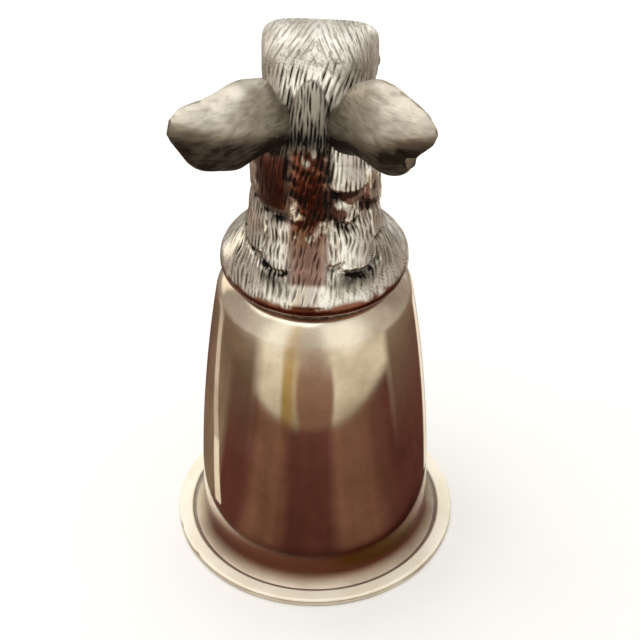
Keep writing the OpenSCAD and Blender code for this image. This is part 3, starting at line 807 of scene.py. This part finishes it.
    faces = capped_faces(HEAD_ROWS, HEAD_COLUMNS)
    points, hair = points.reshape(-1, 3), hair.reshape(-1, 3)
    patina_and_painted_shade, painted_reflection_and_wear = patina_and_painted_shade.ravel(), painted_reflection_and_wear.ravel()
    for sign in (1, -1):
        eye_points, eye_faces, eye_patina = model_eye(sign, len(points))
        count = len(eye_points)
        points = np.concatenate([points, eye_points])
        faces += eye_faces
        patina_and_painted_shade = np.concatenate([patina_and_painted_shade, eye_patina])
        painted_reflection_and_wear = np.concatenate([painted_reflection_and_wear, np.zeros(count)])
        hair = np.concatenate([hair, np.tile([0.0, 0.0, 1.0], (count, 1))])
    shades = {"patina_and_painted_shade": patina_and_painted_shade, "painted_reflection_and_wear": painted_reflection_and_wear, "hair": hair}
    add_piece("doe_head", points, faces, HEAD_PLATE, "head_casting", shades)


# Sections of an ear, as in the part's source but fuller behind the root: share of the length,
# depth of the back and of the front, then the breadth above and below the middle of the left ear
# and of the right ear
EAR_SECTIONS = [
    [-EAR_SOCKET / EAR_LEN, EAR_ROOT_R, -EAR_ROOT_R, 0.58, 0.58, 0.58, 0.58],
    [0, 1.03 * EAR_ROOT_R, -1.02 * EAR_ROOT_R, 0.62, 0.62, 0.62, 0.62],
    [0.13, 1.03 * EAR_ROOT_R, -0.5 * EAR_ROOT_R, 0.95, 0.78, 0.93, 0.63],
    [0.28, 0.93 * EAR_CUP, 0.2 * EAR_HOLLOW, 0.96, 1.03, 1.03, 0.78],
    [0.44, EAR_CUP, 0.7 * EAR_HOLLOW, 0.89, 1.07, 1.07, 0.98],
    [0.6, 0.97 * EAR_CUP, 0.68 * EAR_HOLLOW, 0.65, 1.06, 0.95, 0.88],
    [0.73, 0.84 * EAR_CUP, 0.5 * EAR_HOLLOW, 0.48, 0.92, 0.75, 0.55],
    [0.84, 0.65 * EAR_CUP, 0.25 * EAR_HOLLOW, 0.38, 0.68, 0.58, 0.39],
    [0.94, 0.42 * EAR_CUP, 0.05 * EAR_HOLLOW, 0.25, 0.45, 0.37, 0.24],
    [1, 0.13 * EAR_CUP, -0.05 * EAR_HOLLOW, 0.06, 0.28, 0.12, 0.06],
]
# Hair on the ears is finer than on the head by this much.
EAR_HAIR = 1.7


def turn_matrix(axis, degrees):
    """A turn round one axis."""
    c, s = math.cos(math.radians(degrees)), math.sin(math.radians(degrees))
    i, j = {"x": (1, 2), "y": (2, 0), "z": (0, 1)}[axis]
    m = np.eye(3)
    m[i, i], m[i, j], m[j, i], m[j, j] = c, -s, s, c
    return m


def make_ear(name, sign, replaced):
    """One ear along its own length, then turned into its socket. sign is 1 for the doe's left."""
    u = np.linspace(0, len(EAR_SECTIONS) - 1, EAR_ROWS)[:, None]
    angle = np.linspace(-math.pi, math.pi, EAR_COLUMNS, endpoint=False)[None, :]
    s = curve(EAR_SECTIONS, u[:, 0])[:, None, :]
    above, below = (s[..., 3], s[..., 4]) if sign > 0 else (s[..., 5], s[..., 6])
    share = s[..., 0] + 0 * angle
    wide = EAR_HALF * np.where(np.sin(angle) > 0, above, below)
    back = np.cos(angle) > 0
    # The back sharpens to a ridge towards the tip.
    ridge = smooth(0.35, 0.85, share)
    edge = np.abs(np.sin(angle))
    dome = np.clip(1 - edge ** between(2.0, 1.35, ridge), 0, 1) ** between(0.5, 0.72, ridge)
    deep = np.where(back, s[..., 1] * dome, s[..., 2] * np.abs(np.cos(angle)))
    local = np.stack([share * EAR_LEN, deep, wide * np.sin(angle)], -1)
    normal = grid_normals(local)

    along, up = share * EAR_LEN, local[..., 2]
    across = up + 0.25 * along
    lines = strokes(across, along, *EAR_LINES) * band((-0.02, 0.06), (0.1, 0.35), share)
    # The doe's right ear has a fold along its lower edge near the tip, darkened in its crease
    # with painted shadow.
    fold_line = share - 0.7 - 0.1 * (up / EAR_HALF + 0.5)
    low_edge = smooth(0.22, 0.4, -up / EAR_HALF)
    fold = bump(fold_line * EAR_LEN, 0.6) * low_edge * back * (sign < 0)
    inside = ~back * smooth(0.1, 0.3, share)
    skin = 0.05 * ripple(up / 2.5, along / 3, 31) + 0.03 * ripple(across / 1.1, along / 1.6, 33)
    tufts = ripple(across / 0.6, along / 1.7 + 0.3 * across, 37)
    height = skin - 0.07 * lines - 0.5 * fold - 0.03 * tufts
    local = local + height[..., None] * normal

    m = turn_matrix("z", EAR_SWEEP) @ turn_matrix("y", -EAR_RISE) @ turn_matrix("x", EAR_TURN)
    points = (local.reshape(-1, 3) @ m.T + EAR_SEAT) * (sign, 1, 1)
    # Painted shade at the ear's root, where it meets the head, and over the lower half of its back; the
    # hollow inside is a little darker too.
    root = 1 - smooth(0.0, 0.3, share)
    under = smooth(-0.5, 1.5, -local[..., 2] / 3) * back
    mottle = 0.05 * smooth(-0.2, 0.8, ripple(local[..., 2] / 1.8, along / 2.2, 35))
    mottle = mottle + 0.09 * smooth(-0.3, 0.7, tufts)
    patina_and_painted_shade = 0.25 * lines + 0.7 * fold + 0.25 * inside + 0.3 * root + 0.6 * under + mottle * back
    patina_and_painted_shade = np.clip(patina_and_painted_shade, 0, 1).ravel()
    faces = capped_faces(EAR_ROWS, EAR_COLUMNS, flip=sign < 0)
    hair = np.stack([EAR_HAIR * across, EAR_HAIR * along, 0 * along], -1).reshape(-1, 3)
    shades = {"patina_and_painted_shade": patina_and_painted_shade, "hair": hair}
    add_piece(name, points, faces, EAR_PLATE, replaced, shades)


make_bowl()
make_lip_ring()
make_lip_seam()
make_head()
make_ear("ear_left", 1, "left_ear")
make_ear("ear_right", -1, "right_ear")
for seam in ("collar_solder", "ear_solder"):
    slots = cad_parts[seam].data.materials
    slots.clear()
    slots.append(SOLDER)


# Stage

def add_stage(name, points, faces, tone=None, hidden=True):
    """A thing that isn't part of the cup. A hidden one shows only in the metal."""
    mesh = bpy.data.meshes.new(name)
    mesh.from_pydata(points, [], faces)
    material, tree, shader = new_material(name)
    shader.inputs["Roughness"].default_value = 0.9
    shader.inputs["Specular IOR Level"].default_value = 0.1
    if tone:
        place = node(tree, "TexCoord").outputs["Object"]
        clouds = node(tree, "TexNoise", {"Vector": place, "Scale": per_metre(STAGE_CLOUDS)})
        ramp = node(tree, "ValToRGB", {0: clouds.outputs["Fac"]})
        set_ramp(ramp, [(0.3, tone[0]), (0.7, tone[1])])
        tree.links.new(ramp.outputs[0], shader.inputs["Base Color"])
    mesh.materials.append(material)
    stage = bpy.data.objects.new(name, mesh)
    bpy.context.collection.objects.link(stage)
    if hidden:
        stage.visible_camera = stage.visible_diffuse = stage.visible_shadow = False
    return tree, shader


def angle_round_cup(tree):
    """The angle round the cup as a share of a full turn, 0.5 towards the doe's left."""
    place = node(tree, "TexCoord").outputs["Object"]
    flat = node(tree, "Mapping", {"Vector": place, "Scale": (1, 1, 0)}).outputs[0]
    return node(tree, "TexGradient", {"Vector": flat}, gradient_type="RADIAL").outputs["Fac"]


def sector_tones(tree, table):
    """Tones by the angle round the cup, as pairs of degrees and hex colour."""
    ramp = node(tree, "ValToRGB", {0: angle_round_cup(tree)})
    set_ramp(ramp, [(angle / 360 + 0.5, colour) for angle, colour in table])
    return ramp.outputs[0]


FLOOR_HALF = 3.0
FLOOR_TONES = ("#f8f8f8", "#f9f9f9")
floor_points = [(x * FLOOR_HALF, y * FLOOR_HALF, 0) for x, y in ((-1, -1), (1, -1), (1, 1), (-1, 1))]
add_stage("pale_floor", floor_points, [(0, 1, 2, 3)], FLOOR_TONES, hidden=False)

# Studio cards round the cup show only in its metal. A brown card lies on the floor and turns pale
# farther off on the viewer's side, where a pale screen stands. Their tones run in sectors: pairs of
# the angle round the cup in degrees and the tone there.
MAROON, BROWN, DUN, UMBER = "#5c322b", "#7b5545", "#86705f", "#a07a66"
CREAM, OCHRE, TAN = "#fbf1de", "#c2a368", "#d0bb9c"
WHITE, PEARL, STONE = "#fffcf2", "#cdc4bc", "#a3978c"
NEAR_TONES = [
    (-180, MAROON), (-60, MAROON), (-15, DUN), (4, DUN), (12, MAROON), (34, MAROON), (46, BROWN),
    (64, BROWN), (76, MAROON), (105, MAROON), (114, BROWN), (132, BROWN), (165, MAROON),
]
FAR_TONES = [
    (-180, DUN), (32, DUN), (45, CREAM), (62, CREAM), (66, OCHRE), (72, OCHRE), (76, TAN), (108, TAN),
    (114, CREAM), (167, CREAM), (175, DUN),
]
SCREEN_TONES = [
    (-180, PEARL), (-160, STONE), (-20, STONE), (32, PEARL), (45, WHITE), (62, WHITE), (72, TAN),
    (86, PEARL), (99, PEARL), (110, WHITE), (140, WHITE), (166, PEARL),
]
# White where the brown fades out near the cup, at its sides and in front of the face
SIDES = [(-180, "#ffffff"), (28, "#ffffff"), (40, "#000000"), (167, "#000000"), (175, "#ffffff")]
# Sizes in metres: the card's hole round the lip, its rim and its height over the floor, the half
# axes of the oval in which its brown ends, and the screen's distance and height
CARD_HOLE, CARD_FAR, CARD_Z, CARD_SIDES = 0.0375, 0.7, 0.0006, 240
CARD_NEAR, CARD_WIDE = 0.116, 0.142
SCREEN_FAR, SCREEN_UP, SCREEN_STEPS = 0.7, 1.1, 90
SCREEN_START, SCREEN_TURN = -40, 270
SCREEN_LIGHT = 1.15


def lay_brown_card():
    """A ring of card on the floor, brown near the cup and pale farther off, where it glows with the
    screen's tones as a painted glow.
    """
    points = []
    for r in (CARD_HOLE, CARD_FAR):
        for k in range(CARD_SIDES):
            a = 2 * math.pi * k / CARD_SIDES
            points.append((r * math.cos(a), r * math.sin(a), CARD_Z))
    tree, shader = add_stage("brown_card", points, tube_faces(2, CARD_SIDES))
    place = node(tree, "TexCoord").outputs["Object"]
    out = node(tree, "VectorMath", {0: place}, operation="LENGTH").outputs["Value"]
    round_out = node(tree, "CombineXYZ", {0: angle_round_cup(tree), 1: out}).outputs[0]
    # Soft stains that run outward
    drawn = node(tree, "Mapping", {"Vector": round_out, "Scale": (30, 12, 1)}).outputs[0]
    stains = node(tree, "TexNoise", {"Vector": drawn, "Scale": 1.0, "Detail": 3.0}).outputs["Fac"]
    stains = node(tree, "MapRange", {0: stains, 1: 0.3, 2: 0.7, 3: 0.84, 4: 1.14}).outputs[0]
    near = sector_tones(tree, NEAR_TONES)
    near = node(tree, "Mix", {0: 1.0, 6: near, 7: stains}, **MULTIPLY).outputs[2]
    # A brown patch in the middle of the pale part, which is dimmer towards the cup
    shift = {"Vector": round_out, "Location": (-15.3, -2.6, 0), "Scale": (20, 17, 1)}
    shifted = node(tree, "Mapping", shift).outputs[0]
    off_patch = node(tree, "VectorMath", {0: shifted}, operation="LENGTH").outputs["Value"]
    patch = node(tree, "MapRange", {0: off_patch, 1: 0.85, 2: 1.1, 3: 1.0, 4: 0.0}, **SOFT).outputs[0]
    far = sector_tones(tree, FAR_TONES)
    far = node(tree, "Mix", {0: patch, 6: far, 7: linear(UMBER)}, **MIX).outputs[2]
    dim = node(tree, "MapRange", {0: out, 1: CARD_NEAR, 2: 0.2, 3: 0.66, 4: 1.0}).outputs[0]
    far = node(tree, "Mix", {0: 1.0, 6: far, 7: dim}, **MULTIPLY).outputs[2]
    fade = node(tree, "MapRange", {0: out, 1: 0.07, 2: 0.15}).outputs[0]
    sides = sector_tones(tree, SIDES)
    aside = node(tree, "Math", {0: fade, 1: sides}, operation="MULTIPLY").outputs[0]
    near = node(tree, "Mix", {0: aside, 6: near, 7: far}, **MIX).outputs[2]
    squeeze = {"Vector": place, "Scale": (1 / CARD_WIDE, 1 / CARD_NEAR, 0)}
    oval = node(tree, "Mapping", squeeze).outputs[0]
    off_cup = node(tree, "VectorMath", {0: oval}, operation="LENGTH").outputs["Value"]
    edge = node(tree, "MapRange", {0: off_cup, 1: 0.95, 2: 1.05}, **SOFT).outputs[0]
    tone = node(tree, "Mix", {0: edge, 6: near, 7: far}, **MIX).outputs[2]
    # Farther off the card glows with the screen's tones, a painted glow in place of the screen's
    # light falling on it.
    reach = {0: out, 1: 0.15, 2: 0.26}
    painted_glow = node(tree, "MapRange", {**reach, 3: 0.0, 4: SCREEN_LIGHT}, **SOFT).outputs[0]
    unlit = node(tree, "MapRange", {**reach, 3: 1.0, 4: 0.0}, **SOFT).outputs[0]
    tone = node(tree, "Mix", {0: 1.0, 6: tone, 7: unlit}, **MULTIPLY).outputs[2]
    tree.links.new(tone, shader.inputs["Base Color"])
    tree.links.new(sector_tones(tree, SCREEN_TONES), shader.inputs["Emission Color"])
    tree.links.new(painted_glow, shader.inputs["Emission Strength"])


def stand_pale_screen():
    """A screen that glows by itself and is open in front of the doe's face."""
    points = []
    for z in (0.0, SCREEN_UP):
        for k in range(SCREEN_STEPS + 1):
            a = math.radians(SCREEN_START + SCREEN_TURN * k / SCREEN_STEPS)
            points.append((SCREEN_FAR * math.cos(a), SCREEN_FAR * math.sin(a), z))
    row = SCREEN_STEPS + 1
    faces = [(k, k + 1, k + row + 1, k + row) for k in range(SCREEN_STEPS)]
    tree, shader = add_stage("pale_screen", points, faces)
    tree.links.new(sector_tones(tree, SCREEN_TONES), shader.inputs["Emission Color"])
    shader.inputs["Emission Strength"].default_value = SCREEN_LIGHT
    shader.inputs["Base Color"].default_value = linear("#000000")


lay_brown_card()
stand_pale_screen()

# Pale strips lie on the floor past the cup's sides and give the bright lines down the bowl's edges:
# the corners of each in millimetres. Their height over the floor is in metres.
STRIPS = [
    ((38.5, 8.4), (38.0, 14.0), (65.2, 2.5), (63.0, -7.0)),
    ((-37.0, -13.3), (-31.6, -19.4), (-48.7, -158.0), (-94.4, -141.0)),
    ((63.0, -7.0), (65.2, 2.5), (187.6, -82.4), (169.5, -111.3)),
]
STRIP_Z = 0.0012
STRIP_TONES = [("#faf0e2", "#efe3d3"), ("#faf0e2", "#efe3d3"), ("#d3c5b9", "#c6b7ab")]
for k, strip in enumerate(STRIPS):
    strip_points = [(x * MM, y * MM, STRIP_Z) for x, y in strip]
    add_stage("pale_strip_%d" % k, strip_points, [(0, 1, 2, 3)], STRIP_TONES[k])


def add_area_lamp(name, place, aim, size, power_w, colour):
    """A soft lamp at one place, aimed at another, both in metres."""
    lamp = bpy.data.lights.new(name, "AREA")
    lamp.shape = "RECTANGLE"
    lamp.size, lamp.size_y = size
    lamp.energy = power_w
    lamp.color = linear(colour)[:3]
    holder = bpy.data.objects.new(name, lamp)
    holder.location = place
    way = np.array(aim) - np.array(place)
    tilt = math.acos(-way[2] / np.linalg.norm(way))
    holder.rotation_euler = (tilt, 0, math.atan2(way[1], way[0]) - math.pi / 2)
    bpy.context.collection.objects.link(holder)


add_area_lamp("top_softbox", (0.15, -0.1, 0.8), (0, 0, 0.08), (1.1, 1.1), 4.2, "#fffdfa")
add_area_lamp("left_strip", (0.42, -0.3, 0.25), (0, 0, 0.2), (0.16, 0.5), 0.25, "#fff3e2")
add_area_lamp("right_strip", (-0.17, -0.5, 0.25), (0, 0, 0.2), (0.08, 0.5), 0.2, "#ffffff")

world = bpy.data.worlds.new("soft_dome")
bpy.context.scene.world = world
world.use_nodes = True
sky = world.node_tree
sky_way = node(sky, "SeparateXYZ", {0: node(sky, "TexCoord").outputs["Generated"]})
dome = node(sky, "ValToRGB", {0: sky_way.outputs["Z"]})
set_ramp(dome, [(0.0, "#d3ccc0"), (0.25, "#dad5ca"), (0.8, "#fcfbf9")])
sky.links.new(dome.outputs[0], sky.nodes["Background"].inputs["Color"])
sky.nodes["Background"].inputs["Strength"].default_value = 0.85


# Camera

# Fitted to the ellipses of lip and collar: distance and height from the lip's centre in mm, the
# tilt down, the turn from straight behind the doe, and the focal length for a 36 mm sensor
CAMERA_FAR = 321.5
CAMERA_UP = 319.3
CAMERA_ASIDE = 1.3
CAMERA_TILT = 0.673
CAMERA_TURN = math.radians(5.0)
LENS = 94.84
SENSOR = 36.0

right = np.array([-math.cos(CAMERA_TURN), -math.sin(CAMERA_TURN), 0.0])
away = np.array([math.sin(CAMERA_TURN), -math.cos(CAMERA_TURN), 0.0])
up = np.array([0.0, 0.0, 1.0])
look = math.cos(CAMERA_TILT) * away - math.sin(CAMERA_TILT) * up
head_up = math.sin(CAMERA_TILT) * away + math.cos(CAMERA_TILT) * up
camera_at = (CAMERA_ASIDE * right - CAMERA_FAR * away + CAMERA_UP * up) * MM
camera = bpy.data.objects.new("camera", bpy.data.cameras.new("camera"))
camera.data.sensor_width = SENSOR
camera.data.lens = LENS
camera.data.clip_start = 0.01
pose = np.eye(4)
pose[:3, 0], pose[:3, 1], pose[:3, 2], pose[:3, 3] = right, head_up, -look, camera_at
camera.matrix_world = Matrix(pose.tolist())
bpy.context.collection.objects.link(camera)
bpy.context.scene.camera = camera
bpy.context.scene.view_settings.view_transform = "Standard"
